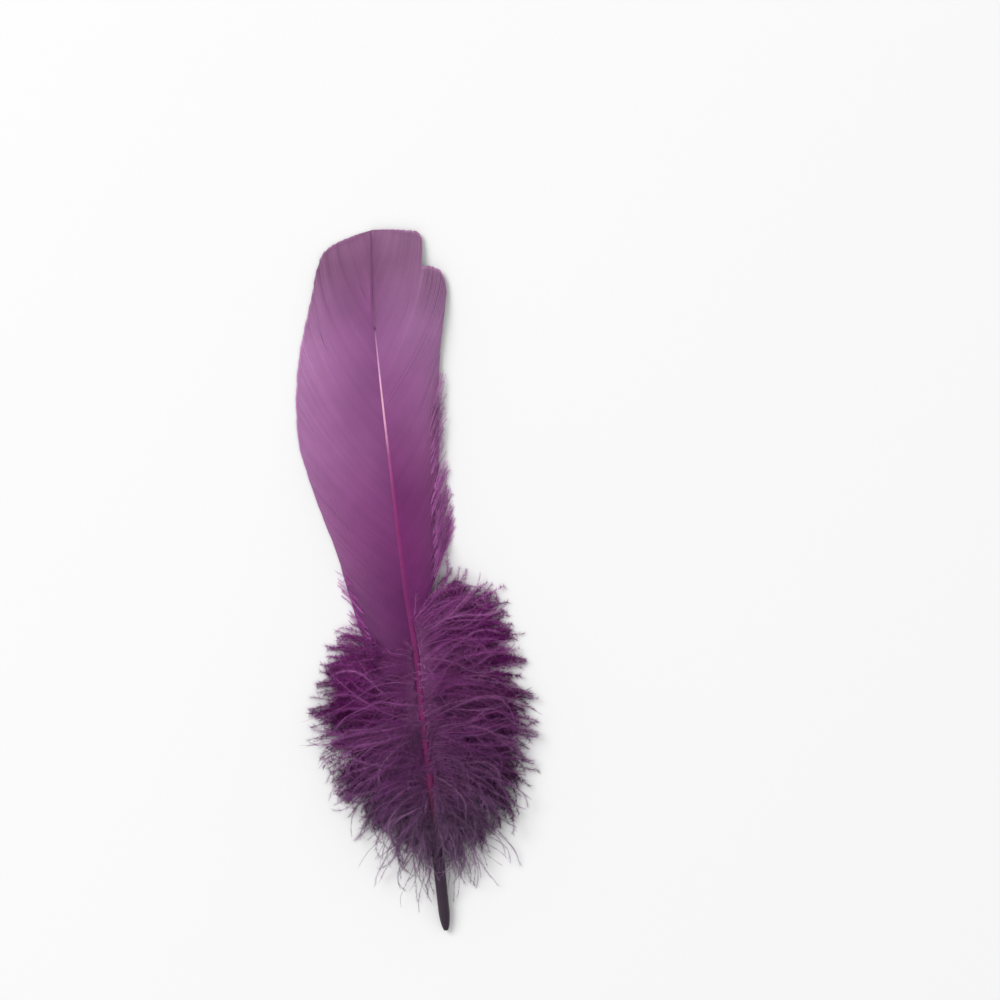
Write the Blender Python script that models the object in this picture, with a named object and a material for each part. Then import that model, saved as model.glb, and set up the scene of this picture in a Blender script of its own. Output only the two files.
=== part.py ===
"""A dyed goose quill feather, lying with its hollow side down, in metres with +Z up.

+Y runs from the quill end to the tip, and +X to the right. The origin is the middle of the footprint, on the
surface that the feather lies on. The sizes and points below are in millimetres. A point's station is its
distance from the quill end, measured straight along Y.
"""

import math

import bmesh
import bpy
import numpy as np

MM = 0.001

# Driving sizes
LENGTH = 176
DOWN_REACH = 28
VANE_THICKNESS = 0.5
SHAFT_GAP = 0.3
ARCH_HEIGHT = 4.6
QUILL_END_HEIGHT = 1.15
TIP_HEIGHT = 0.7
LEFT_EDGE_HEIGHT = 0.4
RIGHT_EDGE_HEIGHT = 1.2
DOWN_ABOVE_SHAFT = 2.6
DOWN_EDGE_HEIGHT = 1.2

LEFT = -1
RIGHT = 1

# How fine each surface is, and how much closer the shaft's rings stand at its quill end
SHAFT_SIDES = 16
SHAFT_RINGS = 60
RING_CROWDING = 1.25
VANE_ROWS = 44
VANE_COLUMNS = 8
DOWN_ROWS = 24
DOWN_COLUMNS = 8

# The shaft's radius and its drift to the right, each against the station
SHAFT_END = 175.4
RADIUS_STATIONS = (0, 1, 2.5, 5, 30, 58, 68, 94, 108, 118, 133, 151, SHAFT_END)
RADII = (0.55, 0.9, 1.2, 1.4, 1.45, 1.05, 0.95, 0.85, 0.7, 0.55, 0.4, 0.25, 0.15)
DRIFT_STATIONS = (0, 68, 88, 108, 139, 157, 165, LENGTH)
DRIFTS = (0, 0, -0.9, -1.25, -1.6, -1.6, -1.1, 0)

# The shaft is round in the quill, and squarer with a groove underneath in the rachis
ROUND_UNTIL = 45
SQUARE_FROM = 75
ROUND_POWER = 2.0
SQUARE_POWER = 3.2
GROOVE_DEPTH = 0.22
GROOVE_WIDTH = 0.45

# Rows of barbs: the station of each row's root on the shaft, then its tip as x and station
LEFT_VANE = (
    (66, -13.9, 78.9), (72, -15.4, 86.5), (79, -17.1, 96), (86, -19.9, 106.5), (92, -22.2, 116),
    (98, -23.8, 126), (104, -23.3, 135.5), (110, -21.4, 146), (117, -18.5, 155.5), (124, -16.3, 162),
    (131, -14.8, 167), (139, -12.5, 171.5), (151, -8.8, 173.8), (160, -5.2, 174.9), (168, -2.8, 175.5),
    (174.6, -0.9, LENGTH),
)
RIGHT_VANE = (
    (78, 9.2, 93.5), (88, 10.0, 106), (97, 10.8, 117), (108, 12.3, 132), (117, 14.0, 144),
    (124, 16.1, 153.7), (129, 17.2, 160), (132, 16.4, 164), (136, 13.2, 166), (139, 12.6, 169.5),
    (143, 12.2, 172.6), (148, 10.6, 174.6), (154, 8.0, 175.2), (163, 4.4, 175.6), (174.6, 0.7, LENGTH),
)
LEFT_DOWN = (
    (30, -4.8, 20), (31.5, -11.0, 15.5), (34, -18.5, 18.5), (38, -24.5, 30), (44, -DOWN_REACH, 45),
    (51, -27.5, 59), (57, -24.6, 70), (61, -20.6, 77.5), (64.4, -15.4, 80.4),
)
RIGHT_DOWN = (
    (30, 4.8, 20), (31.5, 11.5, 14.5), (34, 18.5, 17.5), (38.5, 24.5, 29), (45, DOWN_REACH, 44),
    (52, 27.8, 58), (60, 26, 72), (67, 21.5, 83), (73, 15.5, 90.5), (76.6, 10.4, 94.6),
)

# A barb leaves the shaft wide and curves towards the tip: its bend, as shares of its run across and along
BEND_ACROSS = 0.7
BEND_ALONG = 0.5
CAMBER_POWER = 1.7
DOWN_FALL_POWER = 2.2
DOWN_END_SHARE = 0.08
DOWN_SWELL_POWER = 0.6

QUILL_COLOUR = (0.035, 0.012, 0.040)
VANE_COLOUR = (0.33, 0.13, 0.30)
DOWN_COLOUR = (0.13, 0.025, 0.12)
QUILL_ROUGHNESS = 0.35
VANE_ROUGHNESS = 0.55
DOWN_ROUGHNESS = 0.8


def smooth_through(known, values, wanted):
    """Values on a smooth curve through the known ones, which never passes them by."""
    known = np.asarray(known, float)
    values = np.asarray(values, float)
    steps = np.diff(values) / np.diff(known)
    before = steps[:-1]
    after = steps[1:]
    same_way = before * after > 0
    slopes = np.concatenate([steps[:1], np.zeros(len(known) - 2), steps[-1:]])
    slopes[1:-1][same_way] = 2 * (before * after)[same_way] / (before + after)[same_way]
    at = np.clip(np.searchsorted(known, wanted, side="right") - 1, 0, len(known) - 2)
    width = known[at + 1] - known[at]
    t = (wanted - known[at]) / width
    return (
        values[at] * (1 + 2 * t) * (1 - t) ** 2
        + slopes[at] * width * t * (1 - t) ** 2
        + values[at + 1] * t**2 * (3 - 2 * t)
        + slopes[at + 1] * width * t**2 * (t - 1)
    )


def shaft_radius(station):
    return smooth_through(RADIUS_STATIONS, RADII, np.clip(station, 0, SHAFT_END))


def shaft_x(station):
    return smooth_through(DRIFT_STATIONS, DRIFTS, station)


def shaft_z(station):
    """The height of the shaft's middle: it arches from the quill end to the tip."""
    share = station / LENGTH
    straight = QUILL_END_HEIGHT + (TIP_HEIGHT - QUILL_END_HEIGHT) * share
    return straight + ARCH_HEIGHT * np.sin(math.pi * share)


def finish(name, colour, roughness):
    made = bpy.data.materials.new(name)
    made.use_nodes = True
    shader = made.node_tree.nodes["Principled BSDF"]
    shader.inputs["Base Color"].default_value = (*colour, 1)
    shader.inputs["Roughness"].default_value = roughness
    shader.inputs["Metallic"].default_value = 0
    return made


def place(name, shape, material):
    """Puts a bmesh in the scene as a smooth object, in metres, with its faces pointing out."""
    bmesh.ops.scale(shape, vec=(MM, MM, MM), verts=shape.verts)
    bmesh.ops.recalc_face_normals(shape, faces=shape.faces)
    mesh = bpy.data.meshes.new(name)
    shape.to_mesh(mesh)
    shape.free()
    mesh.shade_smooth()
    mesh.materials.append(material)
    made = bpy.data.objects.new(name, mesh)
    bpy.context.scene.collection.objects.link(made)
    return made


def shaft_ring(station):
    """The points of one cross-section of the shaft."""
    square = np.clip((station - ROUND_UNTIL) / (SQUARE_FROM - ROUND_UNTIL), 0, 1)
    power = ROUND_POWER + (SQUARE_POWER - ROUND_POWER) * square
    angle = np.arange(SHAFT_SIDES) * 2 * math.pi / SHAFT_SIDES
    across = np.cos(angle)
    up = np.sin(angle)
    reach = (np.abs(across) ** power + np.abs(up) ** power) ** (-1 / power)
    groove = np.exp(-((across / GROOVE_WIDTH) ** 2)) * (up < 0)
    radius = shaft_radius(station) * reach * (1 - GROOVE_DEPTH * square * groove)
    x = shaft_x(station) + radius * across
    z = shaft_z(station) + radius * up
    return [(point_x, station - LENGTH / 2, point_z) for point_x, point_z in zip(x, z)]


def make_shaft():
    """The quill and the rachis: one tapered rod, closed ring by ring, with rings closer at the quill end."""
    shape = bmesh.new()
    stations = SHAFT_END * np.linspace(0, 1, SHAFT_RINGS) ** RING_CROWDING
    rings = [[shape.verts.new(point) for point in shaft_ring(station)] for station in stations]
    for ring, following in zip(rings[:-1], rings[1:]):
        for i in range(SHAFT_SIDES):
            j = (i + 1) % SHAFT_SIDES
            shape.faces.new((ring[i], ring[j], following[j], following[i]))
    shape.faces.new(rings[0])
    shape.faces.new(rings[-1])
    place("shaft", shape, finish("quill", QUILL_COLOUR, QUILL_ROUGHNESS))


def barb_rows(outline, rows):
    """Root stations, tip x and tip stations of evenly spaced rows, on smooth curves through the outline's."""
    table = np.array(outline, float)
    steps = np.hypot(*np.diff(table[:, 1:], axis=0).T) + np.diff(table[:, 0])
    known = np.concatenate([[0], np.cumsum(steps)])
    wanted = np.linspace(0, known[-1], rows)
    return [smooth_through(known, table[:, k], wanted)[:, None] for k in range(3)]


def bent(start, bend, end, share):
    """A place on the curve from start to end that heads for bend as it leaves."""
    return start * (1 - share) ** 2 + 2 * bend * share * (1 - share) + end * share**2


def barb_grid(outline, side, rows, columns):
    """Each row's root station, the columns' shares of the way out, and the grid's x and stations."""
    root, tip_x, tip = barb_rows(outline, rows)
    share = np.linspace(0, 1, columns)[None, :]
    root_x = shaft_x(root) + side * (shaft_radius(root) + SHAFT_GAP)
    x = bent(root_x, root_x + BEND_ACROSS * (tip_x - root_x), tip_x, share)
    station = bent(root, root + BEND_ALONG * (tip - root), tip, share)
    return root, share, x, station


def sheet(x, station, z):
    """A bmesh grid with its points moved to these places, row by row."""
    rows, columns = x.shape
    shape = bmesh.new()
    bmesh.ops.create_grid(shape, x_segments=columns - 1, y_segments=rows - 1, size=1)
    in_rows = sorted(shape.verts, key=lambda vert: (round(vert.co.y, 5), round(vert.co.x, 5)))
    for vert, *point in zip(in_rows, x.ravel(), station.ravel() - LENGTH / 2, z.ravel()):
        vert.co = point
    return shape


def make_vane(name, outline, side, edge_height):
    """A web of barbs: thin, highest beside the shaft, and curving down to its edge."""
    root, share, x, station = barb_grid(outline, side, VANE_ROWS, VANE_COLUMNS)
    spine = shaft_z(root)
    edge = np.minimum(edge_height, spine)
    z = spine + (edge - spine) * share**CAMBER_POWER
    web = place(name, sheet(x, station, z), finish(name, VANE_COLOUR, VANE_ROUGHNESS))
    thick = web.modifiers.new("thickness", "SOLIDIFY")
    thick.thickness = VANE_THICKNESS * MM
    thick.offset = 0


def make_down(name, outline, side):
    """The fluff's outer shape: domed on top, flat where it rests, and as wide as its tips reach."""
    root, share, x, station = barb_grid(outline, side, DOWN_ROWS, DOWN_COLUMNS)
    along = np.linspace(DOWN_END_SHARE, 1 - DOWN_END_SHARE, DOWN_ROWS)[:, None]
    crown = shaft_z(root) + DOWN_ABOVE_SHAFT * np.sin(math.pi * along) ** DOWN_SWELL_POWER
    top = crown + (DOWN_EDGE_HEIGHT - crown) * share**DOWN_FALL_POWER
    shape = sheet(x, station, top)
    base = bmesh.ops.extrude_face_region(shape, geom=shape.faces[:], use_keep_orig=True)
    for vert in (item for item in base["geom"] if isinstance(item, bmesh.types.BMVert)):
        vert.co.z = 0
    place(name, shape, finish(name, DOWN_COLOUR, DOWN_ROUGHNESS))


def main():
    for old in list(bpy.data.objects):
        bpy.data.objects.remove(old, do_unlink=True)
    make_shaft()
    make_vane("left_vane", LEFT_VANE, LEFT, LEFT_EDGE_HEIGHT)
    make_vane("right_vane", RIGHT_VANE, RIGHT, RIGHT_EDGE_HEIGHT)
    make_down("left_down", LEFT_DOWN, LEFT)
    make_down("right_down", RIGHT_DOWN, RIGHT)


main()
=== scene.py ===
# %% [markdown]
# # A dyed goose quill feather
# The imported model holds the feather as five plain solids: the shaft, two webs of barbs and two
# bodies of fluff. They are right in size and place, but a real feather is hundreds of separate
# barbs, so this lesson grows those barbs inside the solids. Lengths are in millimetres and become
# metres when a mesh is made, with +Y from the quill end to the tip and +Z up.

# %% Load the frame
import math

import bpy
import numpy as np
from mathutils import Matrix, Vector


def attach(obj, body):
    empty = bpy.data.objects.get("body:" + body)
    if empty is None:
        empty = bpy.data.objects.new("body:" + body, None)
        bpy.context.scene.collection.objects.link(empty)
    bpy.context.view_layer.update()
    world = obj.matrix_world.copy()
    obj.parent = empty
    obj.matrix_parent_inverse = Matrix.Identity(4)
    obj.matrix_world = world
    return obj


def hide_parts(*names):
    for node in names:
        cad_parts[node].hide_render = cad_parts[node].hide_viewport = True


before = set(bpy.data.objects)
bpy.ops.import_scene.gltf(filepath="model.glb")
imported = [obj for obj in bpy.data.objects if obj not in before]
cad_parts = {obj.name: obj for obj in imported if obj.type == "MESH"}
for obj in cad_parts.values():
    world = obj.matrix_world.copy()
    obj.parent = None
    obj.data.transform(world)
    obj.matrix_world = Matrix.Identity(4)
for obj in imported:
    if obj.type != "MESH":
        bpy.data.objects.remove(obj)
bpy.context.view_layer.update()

# %% [markdown]
# ## Camera
# The feather was photographed from straight above, lying with its tip up and leaning a little to
# the left. One pixel of the picture covers a quarter of a millimetre of it. A lens could be
# guessed and moved until it fits, but here the tip's known pixel gives the middle of the view, and
# the lens follows from the distance.

# %% Camera
MM = 0.001
LENGTH = 176
HALF = LENGTH / 2
PIXEL = 0.25
FRAME_PIXELS = 1000
TIP_PIXEL = (371, 230)
TIP_TO_QUILL_PIXELS = (75, 699)
LEAN = math.atan2(*TIP_TO_QUILL_PIXELS)
CAMERA_DISTANCE = 600
SENSOR = 36
CLIP = (0.01, 50)

image_right = Vector((math.cos(LEAN), -math.sin(LEAN), 0))
image_up = Vector((math.sin(LEAN), math.cos(LEAN), 0))
tip_right = (TIP_PIXEL[0] - FRAME_PIXELS / 2) * PIXEL
tip_up = (FRAME_PIXELS / 2 - TIP_PIXEL[1]) * PIXEL
tip_point = Vector((0, HALF, 1))
view_middle = (tip_point - image_right * tip_right - image_up * tip_up) * MM

lens = bpy.data.cameras.new("camera")
lens.sensor_width = SENSOR
lens.lens = SENSOR * CAMERA_DISTANCE / (FRAME_PIXELS * PIXEL)
lens.clip_start, lens.clip_end = CLIP
camera = bpy.data.objects.new("camera", lens)
camera.location = view_middle + Vector((0, 0, CAMERA_DISTANCE * MM))
camera.rotation_euler = (0, 0, -LEAN)
bpy.context.scene.collection.objects.link(camera)
bpy.context.scene.camera = camera
print("view middle:", [round(value, 4) for value in view_middle], "lens:", lens.lens)

# %% [markdown]
# ## Floor and light
# The feather lies on a pale tabletop in soft light that is stronger from the upper left. A wide
# lamp gives that side its glow and a soft shadow, and a pale world fills the rest. The Standard
# view keeps the pale floor pale and the purple dye as strong as it is.

# %% Floor and light
FLOOR_SIZE = 6
FLOOR_SHADE = 0.885
ROOM_LIGHT = 0.68
LAMP_SIZE = 2.3
LAMP_POWER = 97
LAMP_RIGHT = -2.3
LAMP_UP = 1.77
LAMP_HEIGHT = 2.57

bpy.ops.object.select_all(action="DESELECT")
bpy.ops.mesh.primitive_plane_add(size=FLOOR_SIZE)
floor = bpy.context.object
floor.name = "tabletop"

paint = bpy.data.materials.new("tabletop")
paint.use_nodes = True
painted = paint.node_tree.nodes["Principled BSDF"].inputs
painted["Base Color"].default_value = (FLOOR_SHADE, FLOOR_SHADE, FLOOR_SHADE, 1)
painted["Roughness"].default_value = 0.9
painted["Specular IOR Level"].default_value = 0.1
floor.data.materials.append(paint)

world = bpy.data.worlds.new("soft room")
world.use_nodes = True
glow = world.node_tree.nodes["Background"].inputs
glow["Color"].default_value = (1, 1, 1, 1)
glow["Strength"].default_value = ROOM_LIGHT
bpy.context.scene.world = world

lamp = bpy.data.lights.new("window", "AREA")
lamp.shape = "DISK"
lamp.size = LAMP_SIZE
lamp.energy = LAMP_POWER
window = bpy.data.objects.new("window", lamp)
sideways = image_right * LAMP_RIGHT + image_up * LAMP_UP
window.location = view_middle + sideways + Vector((0, 0, LAMP_HEIGHT))
window.rotation_euler = (view_middle - window.location).to_track_quat("-Z", "Y").to_euler()
bpy.context.scene.collection.objects.link(window)

bpy.context.scene.view_settings.view_transform = "Standard"
print("lamp distance:", round((window.location - view_middle).length, 3))

# %% [markdown]
# ## The line of the shaft
# All barbs grow from the shaft, so its line comes first: its radius, its drift to one side and its
# arch over the table, each against the station, which is the distance from the quill end. The
# numbers are those of the solids, apart from the last two radii, which are larger so that the thin
# end shows as a line. A curve drawn by hand could miss them, so a smooth curve is worked out that
# goes through each and never overshoots.

# %% The line of the shaft
SHAFT_END = 175.4
RADIUS_STATIONS = (0, 1, 2.5, 5, 30, 58, 68, 94, 108, 118, 133, 151, SHAFT_END)
RADII = (0.55, 0.9, 1.2, 1.4, 1.45, 1.05, 0.95, 0.85, 0.7, 0.55, 0.4, 0.32, 0.3)
DRIFT_STATIONS = (0, 68, 88, 108, 139, 157, 165, LENGTH)
DRIFTS = (0, 0, -0.9, -1.25, -1.6, -1.6, -1.1, 0)
ARCH_HEIGHT = 4.6
QUILL_END_HEIGHT = 1.15
TIP_HEIGHT = 0.7


def smooth_through(known, values, wanted):
    """Values on a smooth curve through the known ones, which never overshoots them."""
    known = np.asarray(known, float)
    values = np.asarray(values, float)
    wanted = np.clip(wanted, known[0], known[-1])
    steps = np.diff(values) / np.diff(known)
    before = steps[:-1]
    after = steps[1:]
    same_way = before * after > 0
    slopes = np.concatenate([steps[:1], np.zeros(len(known) - 2), steps[-1:]])
    slopes[1:-1][same_way] = 2 * (before * after)[same_way] / (before + after)[same_way]
    at = np.clip(np.searchsorted(known, wanted, side="right") - 1, 0, len(known) - 2)
    width = known[at + 1] - known[at]
    t = (wanted - known[at]) / width
    return (
        values[at] * (1 + 2 * t) * (1 - t) ** 2
        + slopes[at] * width * t * (1 - t) ** 2
        + values[at + 1] * t**2 * (3 - 2 * t)
        + slopes[at + 1] * width * t**2 * (t - 1)
    )


def shaft_radius(station):
    return smooth_through(RADIUS_STATIONS, RADII, station)


def shaft_x(station):
    return smooth_through(DRIFT_STATIONS, DRIFTS, station)


def shaft_z(station):
    share = np.clip(station / LENGTH, 0, 1)
    straight = QUILL_END_HEIGHT + (TIP_HEIGHT - QUILL_END_HEIGHT) * share
    return straight + ARCH_HEIGHT * np.sin(math.pi * share)


def ease(start, stop, value):
    """0 before start, 1 after stop and a smooth step between them."""
    t = np.clip((value - start) / (stop - start), 0, 1)
    return t * t * (3 - 2 * t)


print("radius at 30 mm:", shaft_radius(np.array([30.0])), "highest:", shaft_z(np.array([HALF])))

# %% [markdown]
# ## Small helpers
# A model made by hand starts from a primitive with nothing else selected, and ends with its place
# in its mesh. Barbs and shaft are all rods, so one helper draws a disc out into a rod. Others read
# and move its points, select some of them by place, and read a table of numbers between its rows.

# %% Small helpers
DISC_RADIUS = 0.5


def start_clean():
    if bpy.context.object and bpy.context.object.mode == "EDIT":
        bpy.ops.object.mode_set(mode="OBJECT")
    bpy.ops.object.select_all(action="DESELECT")


def rod(name, sides, lengths):
    """A closed rod along +Y, from a disc that is extruded once for each length."""
    start_clean()
    bpy.ops.mesh.primitive_circle_add(
        vertices=sides, radius=DISC_RADIUS, fill_type="NGON", rotation=(math.pi / 2, 0, 0)
    )
    made = bpy.context.object
    made.name = name
    bpy.ops.object.transform_apply(rotation=True)
    bpy.ops.object.mode_set(mode="EDIT")
    bpy.ops.mesh.select_all(action="SELECT")
    for length in lengths:
        bpy.ops.mesh.extrude_region_move(TRANSFORM_OT_translate={"value": (0, length, 0)})
    bpy.ops.mesh.select_all(action="SELECT")
    bpy.ops.mesh.normals_make_consistent(inside=False)
    bpy.ops.object.mode_set(mode="OBJECT")
    return made


def points_of(piece):
    points = np.zeros(len(piece.data.vertices) * 3)
    piece.data.vertices.foreach_get("co", points)
    return points.reshape(-1, 3)


def move_points(piece, points):
    piece.data.vertices.foreach_set("co", points.ravel())
    piece.data.update()


def pick(piece, chosen):
    """Selects only these points of a piece, and leaves it in edit mode."""
    bpy.ops.object.mode_set(mode="EDIT")
    bpy.ops.mesh.select_all(action="DESELECT")
    bpy.ops.object.mode_set(mode="OBJECT")
    piece.data.vertices.foreach_set("select", chosen)
    bpy.ops.object.mode_set(mode="EDIT")


def rows_of(table, root):
    """The columns of a table at these roots; the table's first column is the root station."""
    table = np.array(table, float)
    return [smooth_through(table[:, 0], table[:, k], root) for k in range(1, table.shape[1])]


print("halfway between two rows:", rows_of(((0, 0), (2, 4)), np.array([1.0])))

# %% [markdown]
# ## One barb, many copies
# A feather has more than a thousand barbs, each on a line of its own. Modelling each by hand isn't
# possible, and a flat sheet with stripes on it has no real edge or slits. So one straight barb is
# modelled, and a copy of it is bent along each barb's line. First the model is read as plain
# arrays, and values that are given along a barb are spread over the model's points.

# %% Reading a modelled barb
def template_of(piece):
    """A modelled barb as plain arrays: points, corners, face sizes and its part of the UV map."""
    mesh = piece.data
    points = points_of(piece)
    corners = np.zeros(len(mesh.loops), int)
    mesh.loops.foreach_get("vertex_index", corners)
    sizes = np.zeros(len(mesh.polygons), int)
    mesh.polygons.foreach_get("loop_total", sizes)
    # The faces of the upper side take one half of the barb's row on the map, the others the rest
    below = np.repeat([face.normal.z < 0 for face in mesh.polygons], sizes)
    height = 0.25 + 0.5 * points[corners, 0] + 0.5 * below
    strip = np.stack([points[corners, 1], height], axis=1)
    fine = np.zeros(len(points))
    return {"points": points, "corners": corners, "sizes": sizes, "strip": strip, "fine": fine}


def spread(template, values):
    """Values given at even steps along a barb, as values at each of the template's points."""
    steps = values.shape[1] - 1
    along = template["points"][:, 1] * steps
    at = np.clip(np.floor(along).astype(int), 0, steps - 1)
    rest = (along - at).reshape((1, -1) + (1,) * (values.ndim - 2))
    return values[:, at] * (1 - rest) + values[:, at + 1] * rest


halfway = {"points": np.array([[0, 0.5, 0]])}
print("halfway between 0 and 3:", spread(halfway, np.array([[0.0, 3.0]])))

# %% [markdown]
# ## Bending the copies
# A curve modifier could bend one copy, but not a thousand in good time. Here the points of all
# copies are set at once: along their lines, across them and above them.

# %% Bending the copies
def unit(vectors):
    return vectors / np.maximum(np.linalg.norm(vectors, axis=-1, keepdims=True), 1e-9)


def bend(template, lines, ups, widths, heights):
    """The template's points along each line, in millimetres."""
    tangents = unit(np.gradient(lines, axis=1))
    sides = unit(np.cross(tangents, ups))
    ups = np.cross(sides, tangents)
    across = template["points"][None, :, 0, None] * spread(template, widths)[..., None]
    above = template["points"][None, :, 2, None] * spread(template, heights)[..., None]
    centres = spread(template, lines)
    return centres + across * spread(template, sides) + above * spread(template, ups)


straight = np.array([[[0.0, 0, 0], [0, 2, 0]]])
upwards = np.array([[[0.0, 0, 1], [0, 0, 1]]])
bent = bend(halfway, straight, upwards, np.ones((1, 2)), np.ones((1, 2)))
print("halfway along a line of 2 mm:", bent[0, 0])

# %% [markdown]
# ## Joining the copies
# A thousand objects would be slow to draw and hard to handle, so all copies become one mesh. Each
# has a row of its own on a UV map, and three attributes for the dye and for painted light and
# shade: how far out along its barb a point is, how fine the hair is there, and a tint.

# %% Joining the copies
BAKE_MAP = "OFBake"
LOWEST = 0.02


def joined(sets):
    """The arrays of all copies. Each set is a template and its lines, ups, widths, heights, tints."""
    rows = sum(len(lines) for _, lines, *_ in sets)
    parts = {key: [] for key in ("points", "corners", "sizes", "strip", "along", "fine", "tint")}
    first_point = 0
    first_row = 0
    for template, lines, ups, widths, heights, tints in sets:
        copies = len(lines)
        size = len(template["points"])
        starts = first_point + np.arange(copies)[:, None] * size
        strip = np.tile(template["strip"], (copies, 1))
        row = first_row + np.repeat(np.arange(copies), len(template["corners"]))
        strip[:, 1] = (strip[:, 1] + row) / rows
        parts["points"].append(bend(template, lines, ups, widths, heights).reshape(-1, 3))
        parts["corners"].append((template["corners"][None] + starts).ravel())
        parts["sizes"].append(np.tile(template["sizes"], copies))
        parts["strip"].append(strip)
        parts["along"].append(np.tile(np.clip(template["points"][:, 1], 0, 1), copies))
        parts["fine"].append(np.tile(template["fine"], copies))
        parts["tint"].append(spread(template, tints).ravel())
        first_point += copies * size
        first_row += copies
    return {key: np.concatenate(arrays) for key, arrays in parts.items()}


def woven(name, sets):
    """One mesh with a copy of each set's template along each of its lines."""
    parts = joined(sets)
    placed = parts["points"]
    placed[:, 1] -= HALF
    placed[:, 2] = np.maximum(placed[:, 2], LOWEST)
    sizes = parts["sizes"]
    mesh = bpy.data.meshes.new(name)
    mesh.vertices.add(len(placed))
    mesh.vertices.foreach_set("co", (placed * MM).ravel())
    mesh.loops.add(len(parts["corners"]))
    mesh.loops.foreach_set("vertex_index", parts["corners"])
    mesh.polygons.add(len(sizes))
    mesh.polygons.foreach_set("loop_start", np.concatenate([[0], np.cumsum(sizes)[:-1]]))
    mesh.update(calc_edges=True)
    mesh.validate()
    mesh.shade_smooth()
    mesh.uv_layers.new(name=BAKE_MAP).data.foreach_set("uv", parts["strip"].ravel())
    for key in ("along", "fine", "tint"):
        mesh.attributes.new(key, "FLOAT", "POINT").data.foreach_set("value", parts[key])
    made = bpy.data.objects.new(name, mesh)
    bpy.context.scene.collection.objects.link(made)
    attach(made, "root")
    print(name, "barbs:", len(sets[0][1]), "triangles:", int((sizes - 2).sum()))
    return made


print("nothing lies lower than", LOWEST, "mm over the table")

# %% [markdown]
# ## The shape of a web barb
# Seen end on, a barb of the web is a flat shingle with a low ridge, so that light catches one side
# of each. A round rod would look like thread, and a bare strip would have no thickness. So it
# starts as a disc of four corners, is drawn out into a rod, and its corners are then pulled flat.
# The first and last steps are very short: smooth shading rounds a rod's ends off into its sides,
# and this keeps that to the ends.

# %% The shape of a web barb
WEB_STEPS = 16
END_STEP = 0.004
RIDGE = 0.42
KEEL = -0.28
NEAR_MIDDLE = 0.1


def barb_steps(count):
    """The lengths of a barb's steps, short at both ends."""
    return [END_STEP] + [(1 - 2 * END_STEP) / (count - 2)] * (count - 2) + [END_STEP]


web_barb = rod("web_barb", 4, barb_steps(WEB_STEPS))
shape = points_of(web_barb)
lower = np.where(shape[:, 2] < -NEAR_MIDDLE, KEEL, 0)
shape[:, 2] = np.where(shape[:, 2] > NEAR_MIDDLE, RIDGE, lower)
shape[:, 0] = np.where(abs(shape[:, 0]) < NEAR_MIDDLE, 0, shape[:, 0])
move_points(web_barb, shape)

web_template = template_of(web_barb)
bpy.data.objects.remove(web_barb)
print("web barb faces:", len(web_template["sizes"]))

# %% [markdown]
# ## The lines of the web barbs
# Each barb leaves the shaft at a wide angle and bends towards the tip. Turning one barb a little
# for each next one would give a feather that looks stamped. Instead a table gives, for some barbs,
# where the tip is and the angles at both ends, and the barbs between follow smoothly. Their roots
# clasp the shoulders of the shaft, and the web curves down from there to its edge.

# %% The lines of the web barbs
LEFT = -1
RIGHT = 1
# Root station, tip x, tip station, leaving angle and ending angle from the shaft, in degrees
WEB = {
    LEFT: (
        (61, -12.6, 71.5, 71, 42), (66, -13.9, 78.9, 66, 36), (72, -15.4, 86.5, 62, 33),
        (79, -17.1, 96, 57, 31), (86, -19.9, 106.5, 53, 31), (92, -22.2, 116, 50, 30),
        (98, -23.8, 126, 47, 27), (104, -23.3, 135.5, 44, 22), (110, -21.4, 146, 40, 15),
        (117, -18.5, 155.5, 37, 8), (124, -16.3, 162, 35, 0), (131, -14.8, 167, 33, -5),
        (139, -12.5, 171.5, 31, -5), (151, -8.8, 173.8, 28, 2), (160, -5.2, 174.9, 30, 12),
        (168, -2.8, 175.5, 30, 12), (174.8, 0.1, 176, 20, 4),
    ),
    RIGHT: (
        (78, 9.2, 93.5, 50, 22), (88, 10.0, 106, 46, 20), (97, 10.8, 117, 44, 19),
        (108, 12.3, 132, 43, 18), (117, 14.0, 144, 43, 18), (124, 16.1, 153.7, 43, 16),
        (129, 17.2, 160, 42, 12), (132, 16.3, 165.3, 39, 8), (135, 14.5, 169.6, 36, 5),
        (138, 12.4, 172.8, 34, 3), (143, 11.4, 174.4, 34, 4), (151, 8.4, 175.1, 33, 8),
        (159, 5.8, 175.5, 33, 12), (167, 3.2, 175.8, 32, 14), (174.8, 0.1, 176, 20, 4),
    ),
}
EDGE_HEIGHT = {LEFT: 0.4, RIGHT: 1.2}
CAMBER_POWER = 1.7
ROOT_DEPTH = 0.6
ROOT_HEIGHT = 0.9


def web_lines(side, root, share):
    """Points of the web at these root stations and shares of the way out."""
    tip_x, tip, leaving, ending = rows_of(WEB[side], root)
    root_x = shaft_x(root) + side * ROOT_DEPTH * shaft_radius(root)
    out = side * (tip_x - root_x)
    along = tip - root
    leaving = np.radians(leaving)
    ending = np.radians(ending)
    first = (out * np.cos(ending) - along * np.sin(ending)) / np.sin(leaving - ending)
    bend_x = root_x + side * first * np.sin(leaving)
    bend_at = root + first * np.cos(leaving)
    x = root_x * (1 - share) ** 2 + 2 * bend_x * share * (1 - share) + tip_x * share**2
    station = root * (1 - share) ** 2 + 2 * bend_at * share * (1 - share) + tip * share**2
    spine = shaft_z(root) + ROOT_HEIGHT * shaft_radius(root)
    edge = np.minimum(EDGE_HEIGHT[side], spine)
    z = spine + (edge - spine) * share**CAMBER_POWER
    return np.stack([x, station, z], axis=-1)


for side in (LEFT, RIGHT):
    widest = max(abs(row[1]) for row in WEB[side])
    print("web roots from", WEB[side][0][0], "to", WEB[side][-1][0], "mm, widest:", widest)

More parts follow.
